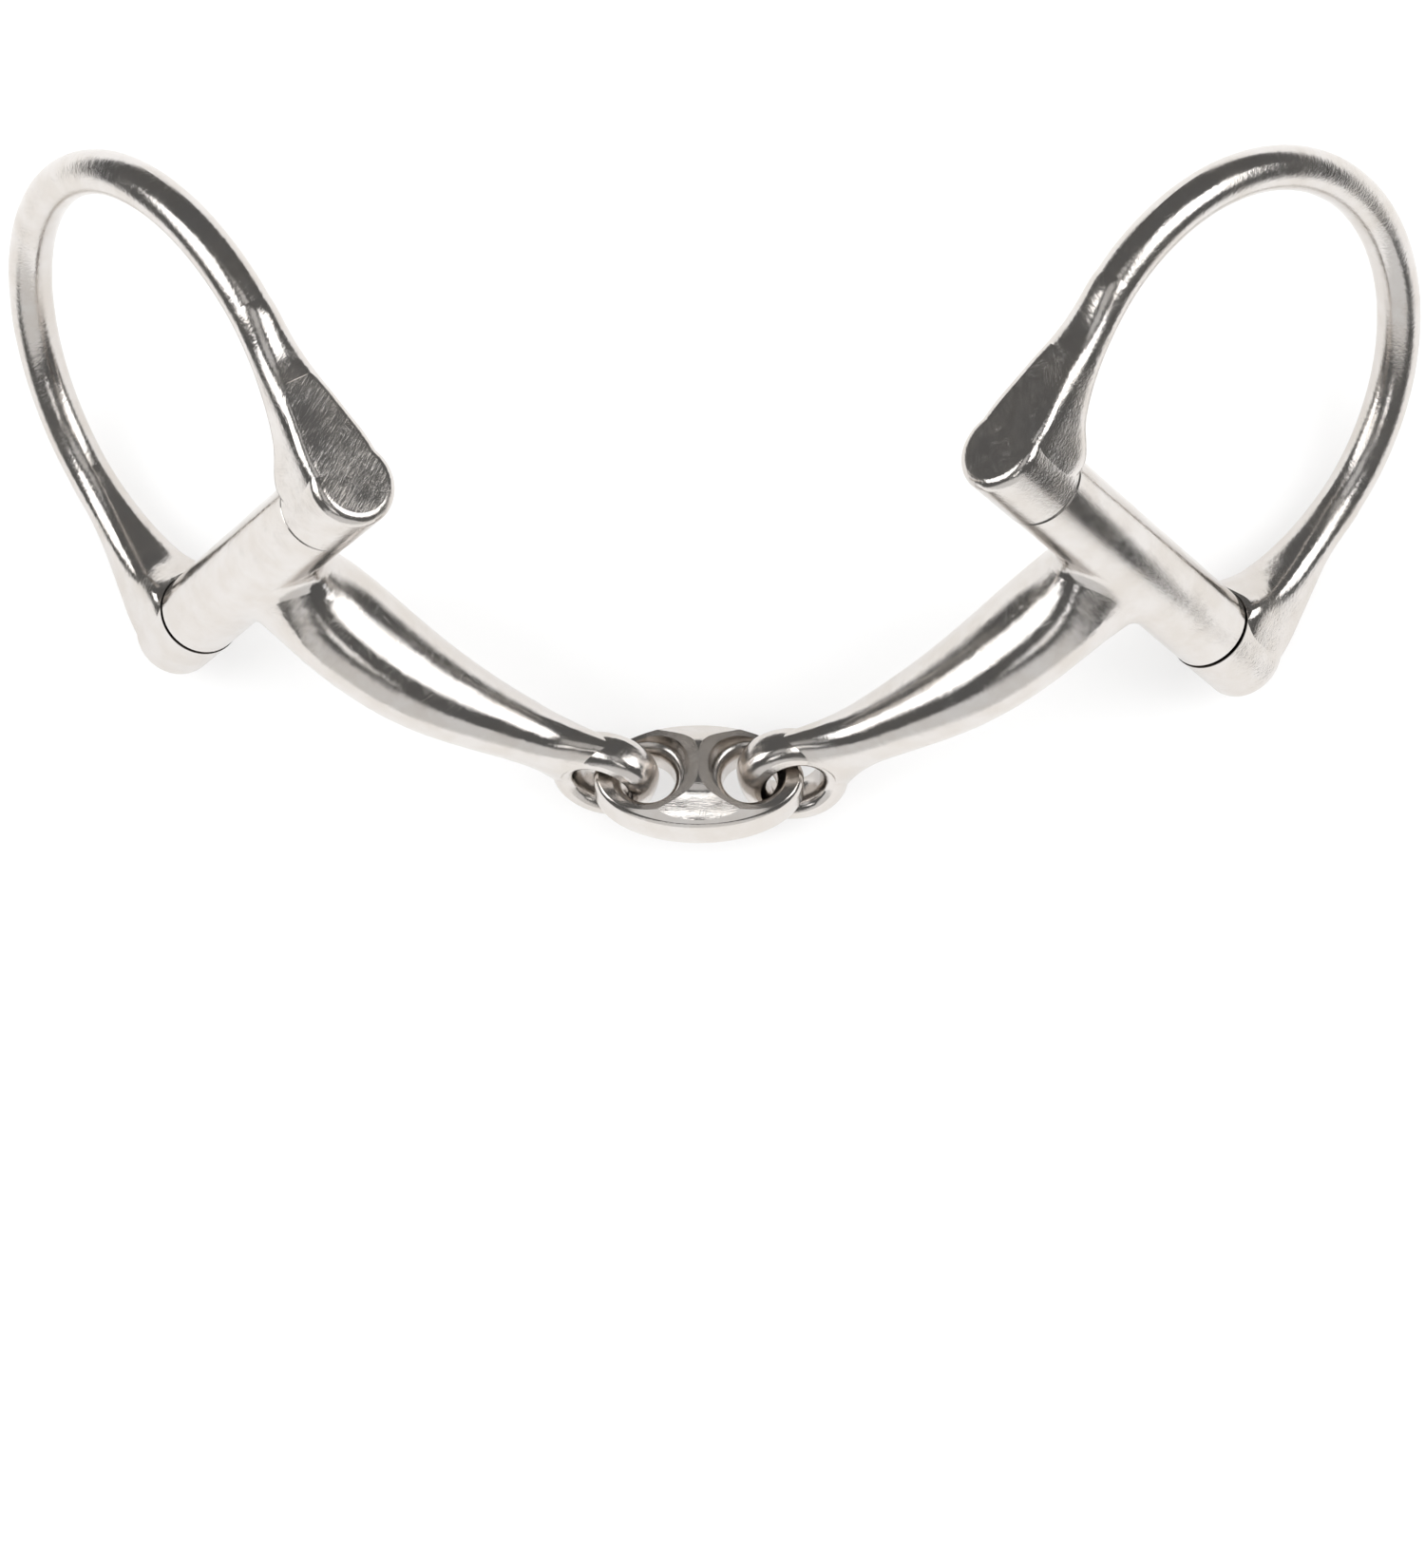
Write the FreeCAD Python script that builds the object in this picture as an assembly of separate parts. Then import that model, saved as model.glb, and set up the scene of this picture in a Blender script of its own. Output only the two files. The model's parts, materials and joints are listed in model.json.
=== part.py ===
import FreeCAD, Part
import math
import os

# Dee-ring double-jointed snaffle bit. All sizes are in millimetres, angles in degrees.
# Every piece is drawn in its own straight frame and then turned into the resting pose.

os.makedirs("parts", exist_ok=True)
Vec = FreeCAD.Vector

X_AXIS, Y_AXIS, Z_AXIS = Vec(1, 0, 0), Vec(0, 1, 0), Vec(0, 0, 1)

# Mouthpiece
MOUTH_WIDTH = 125.0          # between the inner sides of the two barrels
BARREL_RADIUS = 5.65
BARREL_LENGTH = 43.4
PIN_RADIUS = 3.2
PIN_CLEARANCE = 0.08         # radial running clearance of the barrel on its pin
END_GAP = 0.15               # gap between each barrel end and its lug
BARREL_EDGE = 0.35           # small chamfer round the barrel ends
ARM_ROOT_ROUND = 3.0         # hollow round where the arm grows out of the barrel

# Dee ring
LUG_HEIGHT = 10.6            # along the hinge, from the barrel end to the flat face
LUG_RADIUS = BARREL_RADIUS + 0.1
LUG_EDGE = 1.4               # rounding all round the lug's flat end face
SOCKET_DEPTH = 6.5           # pin end seated in each lug
DEE_REACH = 58.7             # hinge axis to the far side of the ring
DEE_SWELL = 0.75             # how far the round part stands past the lugs' flat faces
WIRE_THICKNESS = 5.75        # across the ring, in its plane
WIRE_DEPTH = 5.9             # square to the plane of the ring
LUG_FULLNESS = 5.0           # squareness of the lug section, 2 is an ellipse
FLAT_REACH = 14.5            # how far the flat end face runs out along the ring
NECK_START = 7.0             # where the lug starts to narrow towards the wire
TOUCH_UP = 0.6               # metal that is faced off the lug's end

# Cannon arm: distance from the hinge, half height, half depth
ARM_SECTIONS = [
    (1.0, 9.65, 4.6),
    (4.0, 8.85, 5.5),
    (7.0, 7.7, 6.44),
    (10.0, 6.7, 7.12),
    (14.0, 6.25, 7.4),
    (19.0, 6.05, 7.22),
    (24.0, 5.74, 6.81),
    (29.0, 5.36, 6.21),
    (34.0, 4.96, 5.47),
    (38.5, 4.6, 4.79),
    (42.5, 4.44, 4.21),
    (46.0, 5.05, 3.68),
    (49.5, 6.56, 3.15),
    (53.2, 8.0, 2.64),
]
ARM_FULLNESS = 2.15
ARM_SAG = 2.6                # how far the arm bows forward of a straight line
ARM_BOW_LENGTH = 54.0
ARM_DRAWN_LENGTH = 54.9      # hinge to eye centre that the sections above are drawn for

# Eye at the inner end of the cannon
EYE_THICKNESS = 5.6
EYE_RIM = 3.3                # metal between the hole and the tip
EYE_SIDE = 4.25              # metal above and below the hole
EYE_EDGE = 2.2
EYE_HOLE_EDGE = 1.6

# Centre link
LINK_RIM = 3.6               # metal between each hole and the end
LINK_WALL = 4.2              # metal between the holes and the long sides
LINK_WEB = 6.4               # metal between the two holes
LINK_RIM_THICKNESS = 5.8
LINK_CROWN = 13.3            # full thickness at the middle
LINK_RIM_EDGE = 1.3
LINK_RIM_BEND = 62.0         # how far the rounded rim edge turns over
LINK_TOP_INSET = 4.6         # slope of the rim from its edge up to the crown
LINK_HOLE_EDGE = 1.7
LINK_HOLE_BEND = 75.0        # how far the rounded hole edge turns over

# Play of the two loops in each other
HOLE_PLAY = 0.45             # link hole round the eye's rim, radial
LENGTH_PLAY = 3.8            # eye hole along the link's rim, both ends together
HEIGHT_PLAY = 1.5            # eye hole above and below the link's rim
LOOP_SEAT = 0.7              # folding axis outward of the hole's centre

# Resting pose
FOLD_LEFT, FOLD_RIGHT = 17.36, 16.06
LIFT_LEFT, LIFT_RIGHT = 31.74, 35.07
TWIST_LEFT, TWIST_RIGHT = 9.85, -0.14
SWING_LEFT, SWING_RIGHT = 33.60, 32.08
LINK_PITCH, LINK_ROLL, LINK_YAW = -26.638, 2.200, 0.060
LINK_PLACE = (-1.786, -36.619, 10.712)

# Working values
TOUCH = 0.02                 # closest distance that counts as touching
ROOM = 20.0                  # room of a cutting box past the metal it cuts

# Sizes that follow from the ones above
BARREL_HALF = BARREL_LENGTH / 2
LUG_INNER = BARREL_HALF + END_GAP
LUG_FACE = LUG_INNER + LUG_HEIGHT
BORE_RADIUS = PIN_RADIUS + PIN_CLEARANCE
PIN_HALF = LUG_INNER + SOCKET_DEPTH
HINGE_X = MOUTH_WIDTH / 2 + BARREL_RADIUS
LINK_HOLE_RADIUS = math.hypot(EYE_RIM, EYE_THICKNESS) / 2 + HOLE_PLAY
LINK_HOLE_OFFSET = LINK_WEB / 2 + LINK_HOLE_RADIUS
LINK_HALF_LENGTH = LINK_HOLE_OFFSET + LINK_HOLE_RADIUS + LINK_RIM
LINK_HALF_WIDTH = LINK_HOLE_RADIUS + LINK_WALL
LOOP_OFFSET = LINK_HOLE_OFFSET + LOOP_SEAT   # folding axis from the middle of the link
LOOP_X = HINGE_X - LOOP_OFFSET               # hinge axis to the folding axis
RIM_X = LINK_HALF_LENGTH - LINK_RIM / 2      # middle of the link's rim
EYE_HOLE_HALF_LENGTH = (LINK_RIM + LENGTH_PLAY) / 2
EYE_HOLE_HALF_HEIGHT = LINK_RIM_THICKNESS / 2 + HEIGHT_PLAY
EYE_HALF_LENGTH = EYE_RIM + EYE_HOLE_HALF_LENGTH
EYE_HALF_HEIGHT = EYE_HOLE_HALF_HEIGHT + EYE_SIDE
EYE_X = LOOP_X + EYE_RIM / 2 - EYE_HALF_LENGTH
ARM_SCALE = EYE_X / ARM_DRAWN_LENGTH
DEE_RADIUS = LUG_FACE + DEE_SWELL            # outside of the round part
DEE_CENTRE = DEE_REACH - DEE_RADIUS
DEE_MID_RADIUS = DEE_RADIUS - WIRE_THICKNESS / 2


def closed_spline(points):
    """Smooth closed wire through the points."""
    curve = Part.BSplineCurve()
    curve.interpolate(Points=points, PeriodicFlag=True)
    return Part.Wire([curve.toShape()])


def oval(centre, side_a, side_b, fullness=2.0, count=16):
    """Closed wire round the centre, from an ellipse towards a rounded box."""
    points = []
    for step in range(count):
        angle = 2 * math.pi * step / count
        ca, sa = math.cos(angle), math.sin(angle)
        size = (abs(ca) ** fullness + abs(sa) ** fullness) ** (-1.0 / fullness)
        points.append(centre + side_a * (ca * size) + side_b * (sa * size))
    return closed_spline(points)


def dee_stations():
    """Centre, in-plane half, depth half and fullness along one half of the ring."""
    face = LUG_FACE + TOUCH_UP
    lug = [
        (0.0, LUG_INNER - 0.7, LUG_RADIUS - 0.25),
        (0.53 * LUG_RADIUS, LUG_INNER - 0.7, LUG_RADIUS - 0.4),
        (0.95 * LUG_RADIUS, LUG_INNER - 0.4, LUG_RADIUS - 0.65),
    ]
    wire_in, half = DEE_RADIUS - WIRE_THICKNESS, WIRE_DEPTH / 2
    neck = [
        (0.0, face, LUG_INNER + 0.8, half + 1.9, 4.4),
        (0.17, face - 0.15, wire_in - 2.5, half + 1.35, 3.6),
        (0.36, face - 0.4, wire_in - 1.3, half + 0.85, 2.9),
        (0.545, LUG_FACE + 0.05, wire_in - 0.6, half + 0.45, 2.4),
        (0.755, LUG_FACE + 0.45, wire_in - 0.2, half + 0.15, 2.1),
    ]
    run = DEE_CENTRE - NECK_START
    rows = [(reach, face, inner, depth, LUG_FULLNESS) for reach, inner, depth in lug]
    rows += [(NECK_START + share * run, *row) for share, *row in neck]
    stations = []
    for reach, outer, inner, depth, fullness in rows:
        centre = Vec(-reach, 0, (outer + inner) / 2)
        stations.append((centre, Vec(0, 0, (outer - inner) / 2), depth, fullness))
    return stations


def lug_sweep():
    """Upper lug narrowing into the round wire, ending where the round part starts."""
    wires = []
    for centre, across, depth, fullness in dee_stations():
        wires.append(oval(centre, across, Vec(0, depth, 0), fullness))
    end = Vec(-DEE_CENTRE, 0, DEE_MID_RADIUS)
    wires.append(oval(end, Vec(0, 0, WIRE_THICKNESS / 2), Vec(0, WIRE_DEPTH / 2, 0)))
    return Part.makeLoft(wires, True, False)


def round_wire():
    """Half turn of the ring's round part."""
    start = Vec(-DEE_CENTRE, 0, DEE_MID_RADIUS)
    section = oval(start, Vec(0, 0, WIRE_THICKNESS / 2), Vec(0, WIRE_DEPTH / 2, 0))
    return Part.Face(section).revolve(Vec(-DEE_CENTRE, 0, 0), Vec(0, -1, 0), 180)


def face_rim(shape):
    """Edges round the flat end face of the lug, without the line where the ring leaves it."""
    rim = []
    for face in shape.Faces:
        if abs(face.BoundBox.ZMin - LUG_FACE) < TOUCH and face.BoundBox.ZLength < TOUCH:
            rim += [edge for edge in face.Edges if edge.BoundBox.XMax > TOUCH - FLAT_REACH]
    return rim


def make_lug():
    """Upper lug: swept body faced flat at both ends, with its round end round the hinge."""
    slab = Part.makeBox(FLAT_REACH + LUG_RADIUS, 2 * ROOM, LUG_HEIGHT, Vec(-FLAT_REACH, -ROOM, LUG_INNER))
    tail = Part.makeBox(2 * ROOM, 2 * ROOM, 2 * ROOM, Vec(-FLAT_REACH - 2 * ROOM, -ROOM, LUG_INNER - ROOM))
    post = Part.makeCylinder(LUG_RADIUS, LUG_HEIGHT, Vec(0, 0, LUG_INNER))
    body = lug_sweep().common(slab.fuse(tail)).fuse(post).removeSplitter()
    return body.makeFillet(LUG_EDGE, face_rim(body))


def make_dee():
    """Left dee ring with its hinge axis on the z axis."""
    lug = make_lug()
    body = round_wire().fuse(lug).fuse(lug.mirror(Vec(0, 0, 0), Z_AXIS))
    return body.cut(Part.makeCylinder(PIN_RADIUS, 2 * PIN_HALF, Vec(0, 0, -PIN_HALF)))


def make_pin():
    """Hidden pin, seated in the sockets of both lugs."""
    return Part.makeCylinder(PIN_RADIUS, 2 * PIN_HALF, Vec(0, 0, -PIN_HALF))


def arm_body():
    """Arm of the cannon from inside the barrel to inside the eye."""
    wires = []
    for reach, height, depth in ARM_SECTIONS:
        x = reach * ARM_SCALE
        bow = -ARM_SAG * math.sin(math.pi * min(1.0, reach / ARM_BOW_LENGTH)) ** 2
        wires.append(oval(Vec(x, bow, 0), Vec(0, depth, 0), Vec(0, 0, height), ARM_FULLNESS))
    return Part.makeLoft(wires, True, False)


def flared_oval(x, half_length, half_height, insets):
    """Solid of ovals stacked along y, each grown or shrunk by its inset."""
    wires = []
    for y, inset in insets:
        wires.append(oval(Vec(x, y, 0), Vec(half_length - inset, 0, 0),
                          Vec(0, 0, half_height - inset)))
    return Part.makeLoft(wires, True, False)


def eye_body():
    """Rounded oval plate of the eye."""
    flat = EYE_THICKNESS / 2 - EYE_EDGE
    upper = [(flat + EYE_EDGE * math.sin(math.radians(a)),
              EYE_EDGE * (1 - math.cos(math.radians(a)))) for a in (0, 25, 45, 62, 76)]
    lower = [(-y, inset) for y, inset in reversed(upper)]
    return flared_oval(EYE_X, EYE_HALF_LENGTH, EYE_HALF_HEIGHT, lower + upper)


def eye_hole():
    """Oval hole of the eye with rounded edges."""
    flat = EYE_THICKNESS / 2 - EYE_HOLE_EDGE
    upper = [(flat, 0.0)]
    for a in (30, 50, 68):
        upper.append((flat + EYE_HOLE_EDGE * math.sin(math.radians(a)),
                      -EYE_HOLE_EDGE * (1 - math.cos(math.radians(a)))))
    upper.append((EYE_THICKNESS / 2 + 1.4, -EYE_HOLE_EDGE * 1.5))
    lower = [(-y, inset) for y, inset in reversed(upper)]
    return flared_oval(EYE_X, EYE_HOLE_HALF_LENGTH, EYE_HOLE_HALF_HEIGHT, lower + upper)


def arm_root(shape):
    """Curved edges where the arm meets the round of the barrel."""
    found = []
    for edge in shape.Edges:
        middle = edge.valueAt((edge.FirstParameter + edge.LastParameter) / 2)
        on_barrel = abs(math.hypot(middle.x, middle.y) - BARREL_RADIUS) < TOUCH
        if on_barrel and abs(middle.z) < BARREL_HALF - 1 and edge.BoundBox.XLength > TOUCH:
            found.append(edge)
    return found


def make_cannon():
    """Left cannon with its barrel on the z axis and its eye towards +x."""
    barrel = Part.makeCylinder(BARREL_RADIUS, BARREL_LENGTH, Vec(0, 0, -BARREL_HALF))
    ends = [e for e in barrel.Edges if len(e.Vertexes) == 1]
    body = barrel.makeChamfer(BARREL_EDGE, ends).fuse(arm_body())
    body = body.makeFillet(ARM_ROOT_ROUND, arm_root(body))
    body = body.fuse(eye_body()).cut(eye_hole())
    bore = Part.makeCylinder(BORE_RADIUS, BARREL_LENGTH + 2, Vec(0, 0, -BARREL_HALF - 1))
    return body.cut(bore)


def crown_side(points, plane, start, direction):
    """Bell shaped outline: smooth flanks that meet in a soft ridge at the middle."""
    right = [plane(a, b) + start for a, b in points]
    left = [plane(-a, b) + start for a, b in points]
    right_low = [plane(a, -b) + start for a, b in points]
    left_low = [plane(-a, -b) + start for a, b in points]
    edges = []
    for row in (right, left, right_low, left_low):
        curve = Part.BSplineCurve()
        curve.interpolate(row)
        edges.append(curve.toShape())
    edges.append(Part.makeLine(right[-1], right_low[-1]))
    edges.append(Part.makeLine(left[-1], left_low[-1]))
    wire = Part.Wire(Part.__sortEdges__(edges))
    return Part.Face(wire).extrude(direction)


def link_rim():
    """Oval plan of the link with rounded rim edges, above them sloping in to the crown."""
    half, edge = LINK_RIM_THICKNESS / 2, LINK_RIM_EDGE
    bend = math.radians(LINK_RIM_BEND)
    reach = LINK_HALF_LENGTH
    start = Vec(reach, 0, half - edge)
    mid = Vec(reach - edge * (1 - math.cos(bend / 2)), 0, start.z + edge * math.sin(bend / 2))
    end = Vec(reach - edge * (1 - math.cos(bend)), 0, start.z + edge * math.sin(bend))
    top = Vec(reach - LINK_TOP_INSET, 0, LINK_CROWN / 2 + 1)
    outline = [Part.makeLine(Vec(0, 0, 0), Vec(reach, 0, 0)), Part.makeLine(Vec(reach, 0, 0), start),
               Part.Arc(start, mid, end).toShape(), Part.makeLine(end, top),
               Part.makeLine(top, Vec(0, 0, top.z)), Part.makeLine(Vec(0, 0, top.z), Vec(0, 0, 0))]
    upper = Part.Face(Part.Wire(outline)).revolve(Vec(0, 0, 0), Z_AXIS, 360)
    disc = upper.fuse(upper.mirror(Vec(0, 0, 0), Z_AXIS)).removeSplitter()
    squash = FreeCAD.Matrix()
    squash.A22 = LINK_HALF_WIDTH / LINK_HALF_LENGTH
    return disc.transformGeometry(squash)


def link_hole(side):
    """Round hole of the link, opening out towards both faces."""
    radius, edge, bend = LINK_HOLE_RADIUS, LINK_HOLE_EDGE, math.radians(LINK_HOLE_BEND)
    foot = Vec(radius, 0, 0)
    start = Vec(radius, 0, LINK_RIM_THICKNESS / 2 - edge)
    mid = Vec(radius + edge * (1 - math.cos(bend / 2)), 0, start.z + edge * math.sin(bend / 2))
    end = Vec(radius + edge * (1 - math.cos(bend)), 0, start.z + edge * math.sin(bend))
    top = Vec(end.x + 1, 0, LINK_CROWN / 2 + 1)
    middle, axis_top = Vec(0, 0, 0), Vec(0, 0, top.z)
    outline = [Part.makeLine(middle, foot), Part.makeLine(foot, start), Part.Arc(start, mid, end).toShape(),
               Part.makeLine(end, top), Part.makeLine(top, axis_top), Part.makeLine(axis_top, middle)]
    upper = Part.Face(Part.Wire(outline)).revolve(middle, Z_AXIS, 360)
    tool = upper.fuse(upper.mirror(middle, Z_AXIS))
    tool.translate(Vec(side * LINK_HOLE_OFFSET, 0, 0))
    return tool


def make_link():
    """Centre link, lying in the xy plane with its length along x."""
    crown = LINK_CROWN / 2
    rim = LINK_RIM_THICKNESS / 2
    gain = crown - rim
    length, width = LINK_HALF_LENGTH, LINK_HALF_WIDTH
    front = [(0.0, crown), (0.23 * length, rim + 0.62 * gain), (0.46 * length, rim + 0.28 * gain),
             (0.62 * length, rim + 0.09 * gain), (0.8 * length, rim - 0.05), (length + 1, rim - 0.2)]
    side = [(0.0, crown), (0.3 * width, rim + 0.98 * gain), (0.5 * width, rim + 0.86 * gain),
            (0.66 * width, rim + 0.6 * gain), (0.84 * width, rim + 0.24 * gain),
            (width, rim + 0.03 * gain), (width + 1, rim - 0.1)]
    across = crown_side(front, lambda a, b: Vec(a, 0, b), Vec(0, -width - 2, 0), Vec(0, 2 * width + 4, 0))
    along = crown_side(side, lambda a, b: Vec(0, a, b), Vec(-length - 2, 0, 0), Vec(2 * length + 4, 0, 0))
    body = link_rim().common(across).common(along)
    return body.cut(link_hole(-1)).cut(link_hole(1))


def turn(axis, angle, about=Vec(0, 0, 0)):
    """Placement that turns about an axis through a point."""
    return FreeCAD.Placement(Vec(0, 0, 0), FreeCAD.Rotation(axis, angle), about)


def arm_pose(side, fold, lift, twist):
    """Pose of a cannon on the link; side is -1 on the left and 1 on the right."""
    loop = Vec(side * LOOP_OFFSET, 0, 0)
    rim = Vec(side * RIM_X, 0, 0)
    hinge = FreeCAD.Placement(Vec(side * HINGE_X, 0, 0), FreeCAD.Rotation())
    pose = turn(Y_AXIS, -side * lift, rim)
    pose = pose.multiply(turn(Z_AXIS, side * fold, loop))
    pose = pose.multiply(turn(X_AXIS, twist, loop))
    return pose.multiply(hinge)


def stand_pose():
    """Pose of the link on the table, before the bit is centred on the origin."""
    tilt = turn(Z_AXIS, LINK_YAW).multiply(turn(Y_AXIS, LINK_ROLL)).multiply(turn(X_AXIS, LINK_PITCH))
    return FreeCAD.Placement(Vec(*LINK_PLACE), FreeCAD.Rotation()).multiply(tilt)


def placed(shape, placement):
    """Copy of a shape moved by a placement."""
    moved = shape.copy()
    moved.Placement = placement.multiply(moved.Placement)
    return moved


def cleaned(shape):
    """Single solid with merged faces."""
    whole = shape.removeSplitter()
    return whole.Solids[0]


def main():
    dee = cleaned(make_dee())
    pin = make_pin()
    cannon = cleaned(make_cannon())
    link = cleaned(make_link())
    stand = stand_pose()
    pieces = {"center_link": placed(link, stand)}
    sides = {
        "left": (-1, FOLD_LEFT, LIFT_LEFT, TWIST_LEFT, SWING_LEFT),
        "right": (1, FOLD_RIGHT, LIFT_RIGHT, TWIST_RIGHT, SWING_RIGHT),
    }
    for name, (side, fold, lift, twist, swing) in sides.items():
        arm = stand.multiply(arm_pose(side, fold, lift, twist))
        ring = arm.multiply(turn(Z_AXIS, side * swing))
        own_dee, own_cannon = dee, cannon
        if side > 0:
            own_dee = dee.mirror(Vec(0, 0, 0), X_AXIS)
            own_cannon = cannon.mirror(Vec(0, 0, 0), X_AXIS)
        pieces["cannon_" + name] = placed(own_cannon, arm)
        pieces["dee_ring_" + name] = placed(own_dee, ring)
        pieces["hinge_pin_" + name] = placed(pin, ring)
    for name, shape in pieces.items():
        shape.exportStep("parts/" + name + ".step")
        box = shape.BoundBox
        print(name, "valid", shape.isValid(), "volume", round(shape.Volume, 1),
              "x", round(box.XMin, 2), round(box.XMax, 2), "y", round(box.YMin, 2),
              round(box.YMax, 2), "z", round(box.ZMin, 2), round(box.ZMax, 2))


main()
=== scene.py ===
import json
import math

import bpy
from bpy.props import FloatProperty, FloatVectorProperty, PointerProperty
from mathutils import Matrix, Vector


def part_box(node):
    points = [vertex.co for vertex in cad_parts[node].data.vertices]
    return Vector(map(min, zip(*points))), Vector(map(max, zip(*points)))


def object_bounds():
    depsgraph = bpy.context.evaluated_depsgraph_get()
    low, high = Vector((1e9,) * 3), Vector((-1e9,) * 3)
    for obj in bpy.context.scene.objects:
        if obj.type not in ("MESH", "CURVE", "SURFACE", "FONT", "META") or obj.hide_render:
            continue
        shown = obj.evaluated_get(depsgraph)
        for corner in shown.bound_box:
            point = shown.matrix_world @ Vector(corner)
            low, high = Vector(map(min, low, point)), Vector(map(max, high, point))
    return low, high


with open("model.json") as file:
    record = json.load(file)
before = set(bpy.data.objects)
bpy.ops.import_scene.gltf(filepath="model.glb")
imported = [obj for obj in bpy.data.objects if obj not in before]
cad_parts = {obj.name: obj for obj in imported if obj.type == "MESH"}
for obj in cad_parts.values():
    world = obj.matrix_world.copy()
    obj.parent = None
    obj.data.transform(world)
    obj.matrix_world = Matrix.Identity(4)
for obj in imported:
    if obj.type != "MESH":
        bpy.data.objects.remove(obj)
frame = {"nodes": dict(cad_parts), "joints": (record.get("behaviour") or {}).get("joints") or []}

bl_info = {
    "name": "Dee ring snaffle bit",
    "version": (1, 0, 0),
    "blender": (4, 5, 0),
    "location": "3D View > Sidebar > Snaffle bit",
    "description": "Finishes the packed snaffle bit in forged and brushed steel on a pale studio floor",
    "category": "Object",
}

CAD_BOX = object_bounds()
SIDES = ("left", "right")
MM = 0.001

# Lamps: name, place, size and power in watts
LIGHTS = (
    ("Left softbox", (-0.74, 0.10, 0.66), (0.56, 0.74), 3.2),
    ("Right softbox", (0.74, 0.16, 0.66), (0.56, 0.74), 3.3),
    ("Overhead panel", (0.02, 0.10, 1.20), (0.50, 0.60), 0.46),
    ("Front strip", (0.00, -0.50, 0.98), (0.30, 0.26), 0.40),
)

# Surround seen in the steel: dim room with a bright card in front, given by the direction's y and z
ROOM_DARK, ROOM_BRIGHT = 0.14, 0.95
CARD_Y = (-0.68, -0.78)
CARD_Z = (0.72, 0.58)

# Floor
FLOOR_CORNERS = 96
FLOOR_COLOUR = (0.60, 0.60, 0.60)
FLOOR_GLOW = 0.44
FLOOR_ROUGHNESS = 0.9

# Camera
SENSOR_WIDTH = 36.0
EYE = (0.02381, -0.05215, 0.52448)
TARGET = (0.00025, -0.03672, 0.01494)
UP = (0.0014, 0.99954, 0.03021)
CLIP = (0.02, 30.0)

# Steel finish
STEEL = (0.725, 0.695, 0.67)
STAIN = (0.93, 0.91, 0.88)   # tint of the slight stains on the bare steel
PIN_STEEL = (0.42, 0.42, 0.42)
PIN_ROUGHNESS = 0.3
RING_ROUGHER = 0.04          # how much duller the rings are than the mouthpiece
SCRATCH_AMOUNT = 0.35
SCRATCH_STRENGTH = 0.3
WAVE_STRENGTH = 0.35
PATCH_STRENGTH = 0.8
WAVE_DEPTH, BRUSH_DEPTH = 0.02 * MM, 0.06 * MM
SCRATCH_DEPTH, PATCH_DEPTH = 0.03 * MM, 0.11 * MM

# Brushing: lines per metre along a piece's own x, y and z, and how strongly they show
ARM_GRAIN, ARM_BRUSHING = (9000.0, 900.0, 900.0), 0.35
RING_GRAIN, RING_BRUSHING = (2600.0, 450.0, 2600.0), 0.7
PIN_GRAIN, PIN_BRUSHING = (700.0, 700.0, 9000.0), 0.6
LINK_GRAIN, LINK_BRUSHING = (900.0, 6000.0, 6000.0), 0.25
PATCHINESS = 0.25

# Sizes of the patterns, in features per metre
PATCH_SCALE = 260.0          # patches where the brushing is worn
LUMP_SCALE = 520.0           # lumps of the ground patch at the root of the arm
SLOW_WAVES, SMALL_WAVES = 110.0, 420.0
SLOW_SHARE = 0.75            # share of the slow waves in the waviness
STAIN_SCALE = 170.0
SCRATCH_SETS = ((0.5, 150.0), (1.9, 210.0), (2.7, 120.0))   # turn in radians, spacing
SCRATCH_STRETCH = (22, 1, 0.35)
SCRATCH_WIDTH = 0.008

# Hinge seam and the root of the arm, from the middle of the hinge
SEAM = 21.78 * MM            # barrel end and lug
SEAM_WIDTH = 0.28 * MM       # dark line on each side of the seam
SEAM_COLOUR = (0.035, 0.03, 0.026)
HINGE_REACH = 5.72 * MM      # how far from the hinge axis the seam runs
ROOT = (4.0 * MM, 13.0 * MM)  # ground patch where the arm grows out of the barrel


def joint(name):
    """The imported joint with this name."""
    return next(j for j in frame["joints"] if j["name"] == name)


def cannon_axes(side):
    """Place and axes of a cannon: hinge centre, x towards its eye, z along its barrel."""
    swing, fold = joint("ring_swing_" + side), joint("loop_fold_" + side)
    centre, loop = Vector(swing["pos_m"]), Vector(fold["pos_m"])
    up = Vector(swing["axis"]).normalized()
    if up.z < 0:
        up.negate()
    along = loop - centre
    along = (along - up * along.dot(up)).normalized()
    return centre, along, up.cross(along), up


def deselect():
    """Nothing selected, nothing active."""
    bpy.ops.object.select_all(action="DESELECT")
    bpy.context.view_layer.objects.active = None


# ---------------------------------------------------------------- node helpers

def group(name, inputs, outputs):
    """A new shader node group with float or vector inputs and value outputs."""
    tree = bpy.data.node_groups.new(name, "ShaderNodeTree")
    for label, kind, default in inputs:
        socket = tree.interface.new_socket(label, in_out="INPUT", socket_type="NodeSocket" + kind)
        if default is not None:
            socket.default_value = default
    for label in outputs:
        tree.interface.new_socket(label, in_out="OUTPUT", socket_type="NodeSocketFloat")
    return tree, tree.nodes.new("NodeGroupInput").outputs, tree.nodes.new("NodeGroupOutput").inputs


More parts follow.
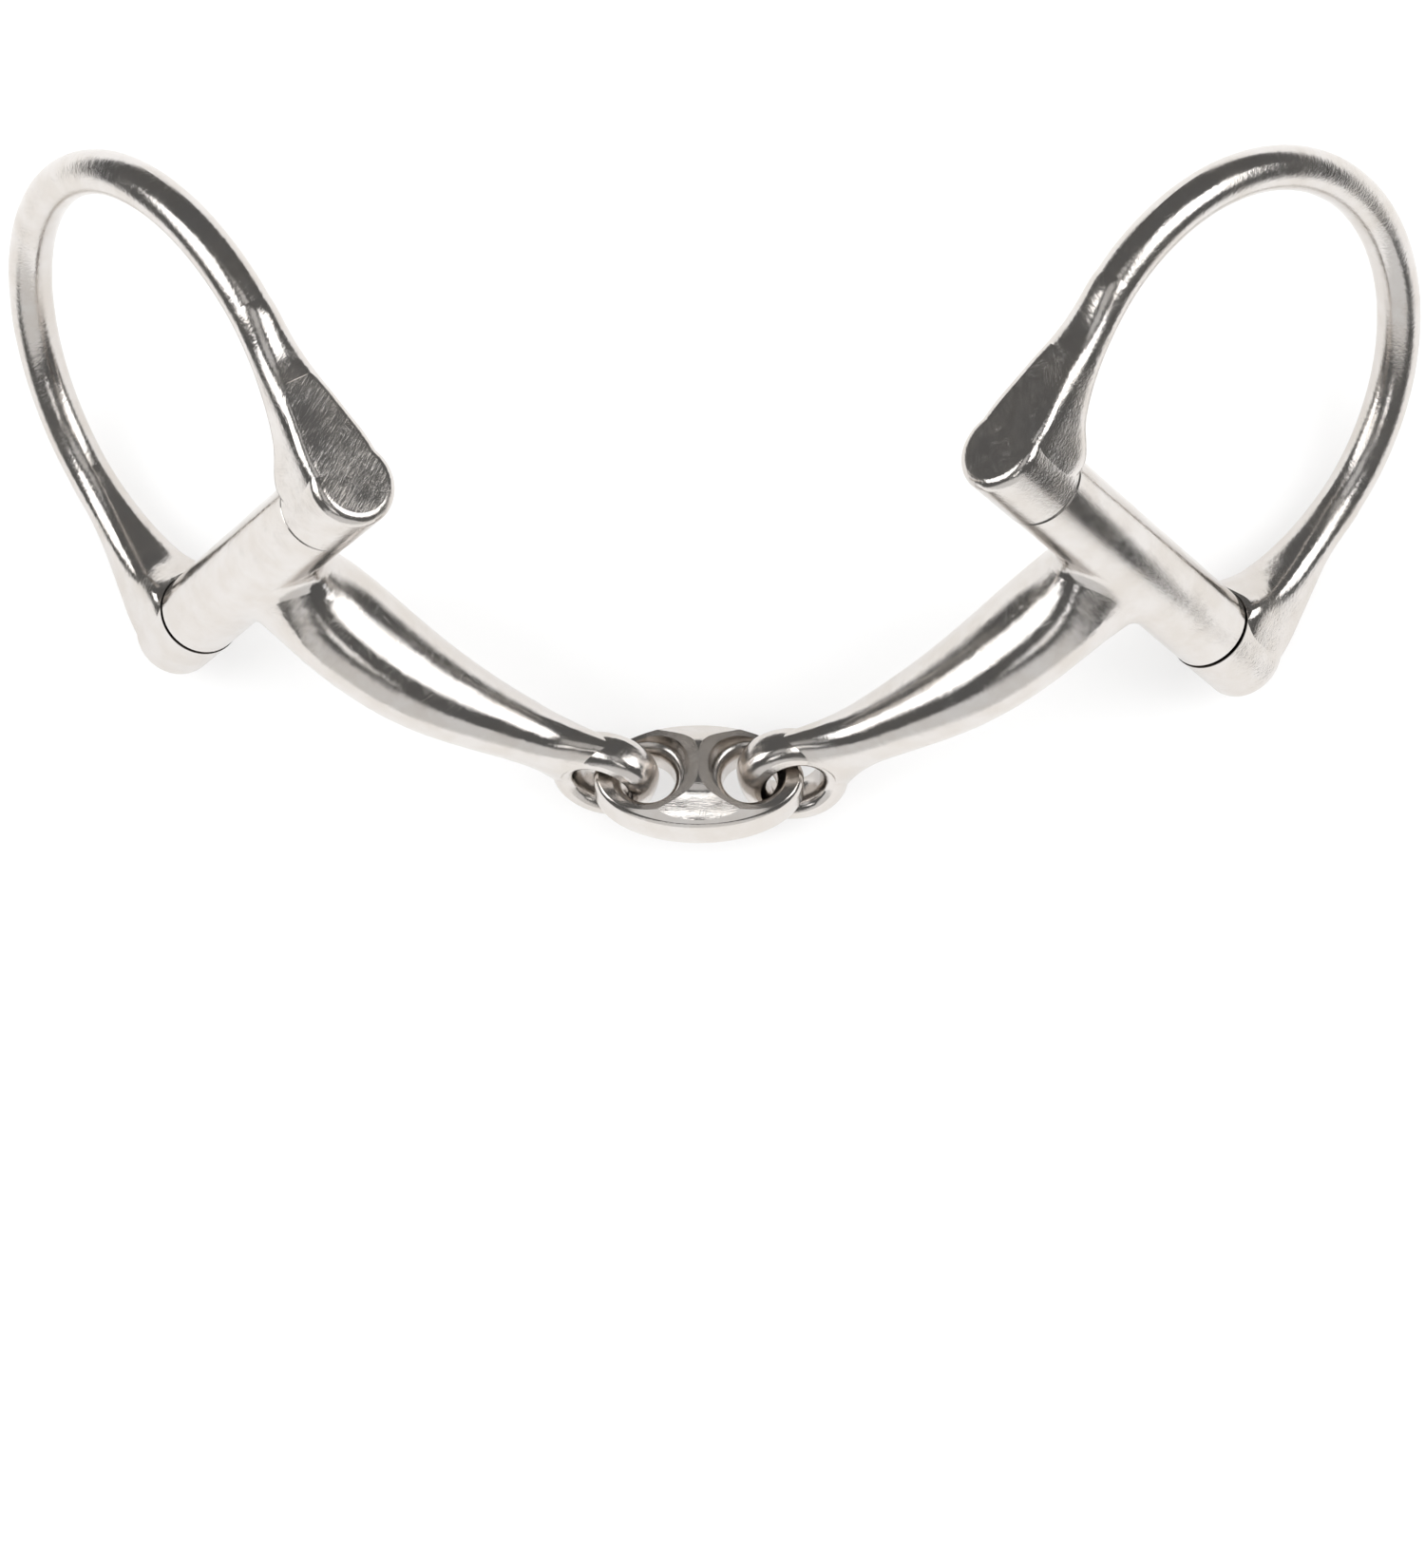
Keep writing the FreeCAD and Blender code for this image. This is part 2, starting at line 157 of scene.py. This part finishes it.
class Wiring:
    """Adds and links nodes in one tree."""

    def __init__(self, tree):
        self.tree = tree

    def node(self, kind, **settings):
        made = self.tree.nodes.new("ShaderNode" + kind)
        for key, value in settings.items():
            setattr(made, key, value)
        return made

    def plug(self, source, target):
        if isinstance(source, (int, float, tuple)):
            target.default_value = source
        else:
            self.tree.links.new(source, target)

    def maths(self, operation, a, b=0.0, clamp=False):
        made = self.node("Math", operation=operation, use_clamp=clamp)
        self.plug(a, made.inputs[0])
        self.plug(b, made.inputs[1])
        return made.outputs[0]

    def spread(self, value, low, high, to_low=0.0, to_high=1.0):
        made = self.node("MapRange", interpolation_type="SMOOTHSTEP")
        for socket, number in zip(made.inputs[:5], (value, low, high, to_low, to_high)):
            self.plug(number, socket)
        return made.outputs[0]

    def noise(self, vector, scale, detail=2.0, roughness=0.5):
        made = self.node("TexNoise")
        self.plug(vector, made.inputs["Vector"])
        self.plug(scale, made.inputs["Scale"])
        self.plug(detail, made.inputs["Detail"])
        self.plug(roughness, made.inputs["Roughness"])
        return made.outputs["Fac"]

    def stretch(self, vector, scale):
        made = self.node("VectorMath", operation="MULTIPLY")
        self.plug(vector, made.inputs[0])
        self.plug(scale, made.inputs[1])
        return made.outputs[0]


def brushing_group():
    """Fine parallel grinding lines, long in one direction and thin in the others."""
    tree, given, out = group("Brushing", [("Vector", "Vector", None), ("Grain", "Vector", (1, 1, 1)),
                                          ("Patchiness", "Float", 0.5)], ["Height"])
    w = Wiring(tree)
    lines = w.stretch(given["Vector"], given["Grain"])
    fine = w.noise(lines, 1.0, 3.0, 0.65)
    broad = w.noise(given["Vector"], PATCH_SCALE, 2.0)
    patch = w.spread(broad, 0.38, 0.62)
    kept = w.maths("SUBTRACT", 1.0, w.maths("MULTIPLY", given["Patchiness"], patch))
    w.plug(w.maths("MULTIPLY", fine, kept), out["Height"])
    return tree


def scratches_group():
    """Sparse fine handling scratches in several directions."""
    tree, given, out = group("Scratches", [("Vector", "Vector", None), ("Amount", "Float", 0.3)], ["Mask"])
    w = Wiring(tree)
    total = 0.0
    for turn, scale in SCRATCH_SETS:
        spin = w.node("VectorRotate", rotation_type="AXIS_ANGLE")
        w.plug(given["Vector"], spin.inputs["Vector"])
        spin.inputs["Axis"].default_value = (0.3, turn - 1.5, 0.8)
        spin.inputs["Angle"].default_value = turn
        lines = w.noise(w.stretch(spin.outputs[0], tuple(scale * k for k in SCRATCH_STRETCH)), 1.0, 1.0)
        off_line = w.maths("ABSOLUTE", w.maths("SUBTRACT", lines, 0.5))
        ridge = w.spread(off_line, 0.0, SCRATCH_WIDTH, 1.0, 0.0)
        region = w.spread(w.noise(spin.outputs[0], scale * 1.3, 1.0), 0.55, 0.66)
        total = w.maths("MAXIMUM", w.maths("MULTIPLY", ridge, region), total)
    w.plug(w.maths("MULTIPLY", total, given["Amount"]), out["Mask"])
    return tree


def hand_finish_group():
    """Slow waviness that forging and hand polishing leave in a surface."""
    tree, given, out = group("Hand finish", [("Vector", "Vector", None)], ["Height", "Tone"])
    w = Wiring(tree)
    slow = w.noise(given["Vector"], SLOW_WAVES, 1.5)
    small = w.noise(given["Vector"], SMALL_WAVES, 2.0)
    waves = w.maths("ADD", w.maths("MULTIPLY", slow, SLOW_SHARE), w.maths("MULTIPLY", small, 1 - SLOW_SHARE))
    w.plug(waves, out["Height"])
    w.plug(w.noise(given["Vector"], STAIN_SCALE, 4.0, 0.6), out["Tone"])
    return tree


def seam_group():
    """Dark line where barrel and lug meet."""
    tree, given, out = group("Seam", [("Vector", "Vector", None)], ["Mask"])
    w = Wiring(tree)
    split = w.node("SeparateXYZ")
    w.plug(given["Vector"], split.inputs[0])
    off = w.maths("ABSOLUTE", w.maths("SUBTRACT", w.maths("ABSOLUTE", split.outputs["Z"]), SEAM))
    reach = w.node("VectorMath", operation="LENGTH")
    w.plug(w.stretch(given["Vector"], (1.0, 1.0, 0.0)), reach.inputs[0])
    near = w.spread(reach.outputs["Value"], HINGE_REACH, HINGE_REACH + 0.1 * MM, 1.0, 0.0)
    w.plug(w.maths("MULTIPLY", w.spread(off, 0.3 * SEAM_WIDTH, SEAM_WIDTH, 1.0, 0.0), near), out["Mask"])
    return tree


def ground_patch(w, place):
    """Height of the lumpy ground patch at the root of an arm."""
    split = w.node("SeparateXYZ")
    w.plug(place, split.inputs[0])
    low, high = ROOT
    inside = w.maths("MULTIPLY", w.spread(split.outputs["X"], low, low + 2 * MM),
                     w.spread(split.outputs["X"], high - 5 * MM, high, 1.0, 0.0))
    return w.maths("MULTIPLY", w.noise(place, LUMP_SCALE, 1.0), inside)


def local_place(w, centre, x_axis, z_axis):
    """Object coordinates turned into a piece's own straight axes."""
    y_axis = z_axis.cross(x_axis)
    turned = Matrix((x_axis, y_axis, z_axis)).transposed()
    mapping = w.node("Mapping", vector_type="TEXTURE")
    mapping.inputs["Location"].default_value = centre
    mapping.inputs["Rotation"].default_value = turned.to_euler()
    w.plug(w.node("TexCoord").outputs["Object"], mapping.inputs["Vector"])
    return mapping.outputs[0]


def steel(name, axes, grain, brushing, rough, colour, root=False):
    """Polished steel with brushed lines, waviness, scratches, slight stains and dark seams."""
    centre, along, _, up = axes
    material = bpy.data.materials.new(name)
    material.use_nodes = True
    w = Wiring(material.node_tree)
    surface = material.node_tree.nodes["Principled BSDF"]
    place = local_place(w, centre, along, up)
    brush = w.node("Group", node_tree=bpy.data.node_groups["Brushing"])
    w.plug(place, brush.inputs["Vector"])
    w.plug(grain, brush.inputs["Grain"])
    brush.inputs["Patchiness"].default_value = PATCHINESS
    marks = w.node("Group", node_tree=bpy.data.node_groups["Scratches"])
    w.plug(place, marks.inputs["Vector"])
    marks.inputs["Amount"].default_value = SCRATCH_AMOUNT
    finish = w.node("Group", node_tree=bpy.data.node_groups["Hand finish"])
    w.plug(place, finish.inputs["Vector"])
    mix = w.node("Mix", data_type="RGBA")
    w.plug(w.spread(finish.outputs["Tone"], 0.3, 0.7), mix.inputs["Factor"])
    mix.inputs[6].default_value = (*colour, 1)
    mix.inputs[7].default_value = (*[c * k for c, k in zip(colour, STAIN)], 1)
    seam = w.node("Group", node_tree=bpy.data.node_groups["Seam"])
    w.plug(place, seam.inputs["Vector"])
    dark = w.node("Mix", data_type="RGBA")
    w.plug(seam.outputs["Mask"], dark.inputs["Factor"])
    w.plug(mix.outputs[2], dark.inputs[6])
    dark.inputs[7].default_value = (*SEAM_COLOUR, 1)
    w.plug(dark.outputs[2], surface.inputs["Base Color"])
    surface.inputs["Metallic"].default_value = 1.0
    grain_rough = w.maths("MULTIPLY", w.maths("SUBTRACT", brush.outputs["Height"], 0.35), 0.25)
    stained = w.spread(finish.outputs["Tone"], 0.3, 0.75, rough - 0.04, rough + 0.05)
    level = w.maths("ADD", stained, grain_rough)
    level = w.maths("ADD", level, w.maths("MULTIPLY", marks.outputs["Mask"], 0.2), clamp=True)
    w.plug(level, surface.inputs["Roughness"])
    layers = [(finish.outputs["Height"], WAVE_STRENGTH, WAVE_DEPTH),
              (brush.outputs["Height"], brushing, BRUSH_DEPTH),
              (marks.outputs["Mask"], -SCRATCH_STRENGTH, SCRATCH_DEPTH)]
    if root:
        layers.append((ground_patch(w, place), PATCH_STRENGTH, PATCH_DEPTH))
    bumps = None
    for height, strength, distance in layers:
        bump = w.node("Bump", invert=strength < 0)
        bump.inputs["Strength"].default_value = abs(strength)
        bump.inputs["Distance"].default_value = distance
        w.plug(height, bump.inputs["Height"])
        if bumps:
            w.plug(bumps, bump.inputs["Normal"])
        bumps = bump.outputs[0]
    w.plug(bumps, surface.inputs["Normal"])
    return material


def coat(obj, material):
    """Gives a piece its one material."""
    obj.data.materials.clear()
    obj.data.materials.append(material)


def build_groups():
    """Shared shader groups, made once."""
    if "Brushing" not in bpy.data.node_groups:
        brushing_group()
        scratches_group()
        hand_finish_group()
        seam_group()


# ---------------------------------------------------------------- settings

class SteelSettings(bpy.types.PropertyGroup):
    colour: FloatVectorProperty(name="Steel", description="Colour of the bare steel", subtype="COLOR",
                                size=3, default=STEEL)
    polish: FloatProperty(name="Roughness", description="Roughness of the polished steel", default=0.105,
                          subtype="FACTOR")


class StageSettings(bpy.types.PropertyGroup):
    floor_width: FloatProperty(name="Floor width", description="Width of the floor", default=0.50,
                               unit="LENGTH")
    lens: FloatProperty(name="Lens", description="Focal length on a 36 mm wide sensor", default=96.053,
                        unit="CAMERA")
    dome: FloatProperty(name="Dome", description="Brightness of the light on the floor", default=1.0)


# ---------------------------------------------------------------- operators

class SNAFFLE_OT_cannons(bpy.types.Operator):
    """Finishes the two cannons"""
    bl_idname = "snaffle.cannons"
    bl_label = "Cannons"

    def execute(self, context):
        build_groups()
        settings = context.scene.snaffle_steel
        for side in SIDES:
            finish = steel("Forged steel " + side, cannon_axes(side), ARM_GRAIN, ARM_BRUSHING,
                           settings.polish, tuple(settings.colour), root=True)
            coat(frame["nodes"]["cannon_" + side], finish)
        return {"FINISHED"}


class SNAFFLE_OT_rings(bpy.types.Operator):
    """Finishes the two dee rings and their pins"""
    bl_idname = "snaffle.rings"
    bl_label = "Rings"

    def execute(self, context):
        build_groups()
        settings = context.scene.snaffle_steel
        for side in SIDES:
            axes = cannon_axes(side)
            ring = steel("Ring steel " + side, axes, RING_GRAIN, RING_BRUSHING,
                         settings.polish + RING_ROUGHER, tuple(settings.colour))
            coat(frame["nodes"]["dee_ring_" + side], ring)
            pin = steel("Pin steel " + side, axes, PIN_GRAIN, PIN_BRUSHING, PIN_ROUGHNESS, PIN_STEEL)
            coat(frame["nodes"]["hinge_pin_" + side], pin)
        return {"FINISHED"}


class SNAFFLE_OT_link(bpy.types.Operator):
    """Finishes the centre link"""
    bl_idname = "snaffle.link"
    bl_label = "Centre link"

    def execute(self, context):
        build_groups()
        settings = context.scene.snaffle_steel
        centre = sum(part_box("center_link"), Vector()) / 2
        axes = (centre, Vector((1, 0, 0)), Vector((0, 1, 0)), Vector((0, 0, 1)))
        finish = steel("Link steel", axes, LINK_GRAIN, LINK_BRUSHING, settings.polish,
                       tuple(settings.colour))
        coat(frame["nodes"]["center_link"], finish)
        return {"FINISHED"}


class SNAFFLE_OT_stage(bpy.types.Operator):
    """Makes the floor, the soft lights and the camera"""
    bl_idname = "snaffle.stage"
    bl_label = "Studio"

    def execute(self, context):
        settings = context.scene.snaffle_stage
        self.floor(settings)
        self.world(context.scene, settings)
        self.lights()
        self.camera(context.scene, settings)
        context.scene.view_settings.view_transform = "Standard"
        return {"FINISHED"}

    def floor(self, settings):
        deselect()
        bpy.ops.mesh.primitive_circle_add(vertices=FLOOR_CORNERS, radius=settings.floor_width / 2,
                                          fill_type="NGON")
        floor = bpy.context.object
        floor.name = "studio_floor"
        material = bpy.data.materials.new("Pale floor")
        material.use_nodes = True
        surface = material.node_tree.nodes["Principled BSDF"]
        surface.inputs["Base Color"].default_value = (*FLOOR_COLOUR, 1)
        surface.inputs["Emission Color"].default_value = (1, 1, 1, 1)
        surface.inputs["Emission Strength"].default_value = FLOOR_GLOW
        surface.inputs["Roughness"].default_value = FLOOR_ROUGHNESS
        surface.inputs["Specular IOR Level"].default_value = 0.0
        coat(floor, material)

    def world(self, scene, settings):
        world = bpy.data.worlds.new("Studio dome")
        scene.world = world
        world.use_nodes = True
        world.node_tree.nodes.clear()
        w = Wiring(world.node_tree)
        out = w.node("OutputWorld")
        split = w.node("SeparateXYZ")
        w.plug(w.node("TexCoord").outputs["Generated"], split.inputs[0])
        card = w.maths("MULTIPLY", w.spread(split.outputs["Y"], *CARD_Y),
                       w.spread(split.outputs["Z"], *CARD_Z))
        tone = w.spread(card, 0.0, 1.0, ROOM_DARK, ROOM_BRIGHT)
        room, dome = w.node("Background"), w.node("Background")
        w.plug(tone, room.inputs["Strength"])
        dome.inputs["Strength"].default_value = settings.dome
        path = w.node("LightPath")
        mixer = w.node("MixShader")
        w.plug(path.outputs["Is Glossy Ray"], mixer.inputs[0])
        w.plug(dome.outputs[0], mixer.inputs[1])
        w.plug(room.outputs[0], mixer.inputs[2])
        w.plug(mixer.outputs[0], out.inputs["Surface"])

    def lights(self):
        aim = sum(CAD_BOX, Vector()) / 2
        for name, place, size, power in LIGHTS:
            deselect()
            bpy.ops.object.light_add(type="AREA", location=place)
            lamp = bpy.context.object
            lamp.name = name
            lamp.data.shape = "RECTANGLE"
            lamp.data.size, lamp.data.size_y = size
            lamp.data.energy = power
            lamp.visible_camera = False
            lamp.rotation_euler = (Vector(place) - aim).to_track_quat("Z", "Y").to_euler()

    def camera(self, scene, settings):
        deselect()
        bpy.ops.object.camera_add()
        camera = bpy.context.object
        camera.name = "product_camera"
        camera.data.sensor_fit = "HORIZONTAL"
        camera.data.sensor_width = SENSOR_WIDTH
        camera.data.lens = settings.lens
        camera.data.clip_start, camera.data.clip_end = CLIP
        camera.data.dof.use_dof = False
        back = (Vector(EYE) - Vector(TARGET)).normalized()
        right = Vector(UP).cross(back).normalized()
        turned = Matrix((right, back.cross(right), back)).transposed()
        camera.matrix_world = Matrix.LocRotScale(Vector(EYE), turned, None)
        scene.camera = camera


class SNAFFLE_PT_panel(bpy.types.Panel):
    bl_label = "Snaffle bit"
    bl_idname = "SNAFFLE_PT_panel"
    bl_space_type = "VIEW_3D"
    bl_region_type = "UI"
    bl_category = "Snaffle bit"

    def draw(self, context):
        for operator in STEPS:
            self.layout.operator(operator.bl_idname)


STEPS = (SNAFFLE_OT_stage, SNAFFLE_OT_cannons, SNAFFLE_OT_rings, SNAFFLE_OT_link)
CLASSES = (SteelSettings, StageSettings, *STEPS, SNAFFLE_PT_panel)


def register():
    for each in CLASSES:
        bpy.utils.register_class(each)
    bpy.types.Scene.snaffle_steel = PointerProperty(type=SteelSettings)
    bpy.types.Scene.snaffle_stage = PointerProperty(type=StageSettings)


def unregister():
    del bpy.types.Scene.snaffle_stage
    del bpy.types.Scene.snaffle_steel
    for each in reversed(CLASSES):
        bpy.utils.unregister_class(each)


def main():
    register()
    bpy.ops.snaffle.stage()
    bpy.ops.snaffle.cannons()
    bpy.ops.snaffle.rings()
    bpy.ops.snaffle.link()


if __name__ == "__main__":
    main()
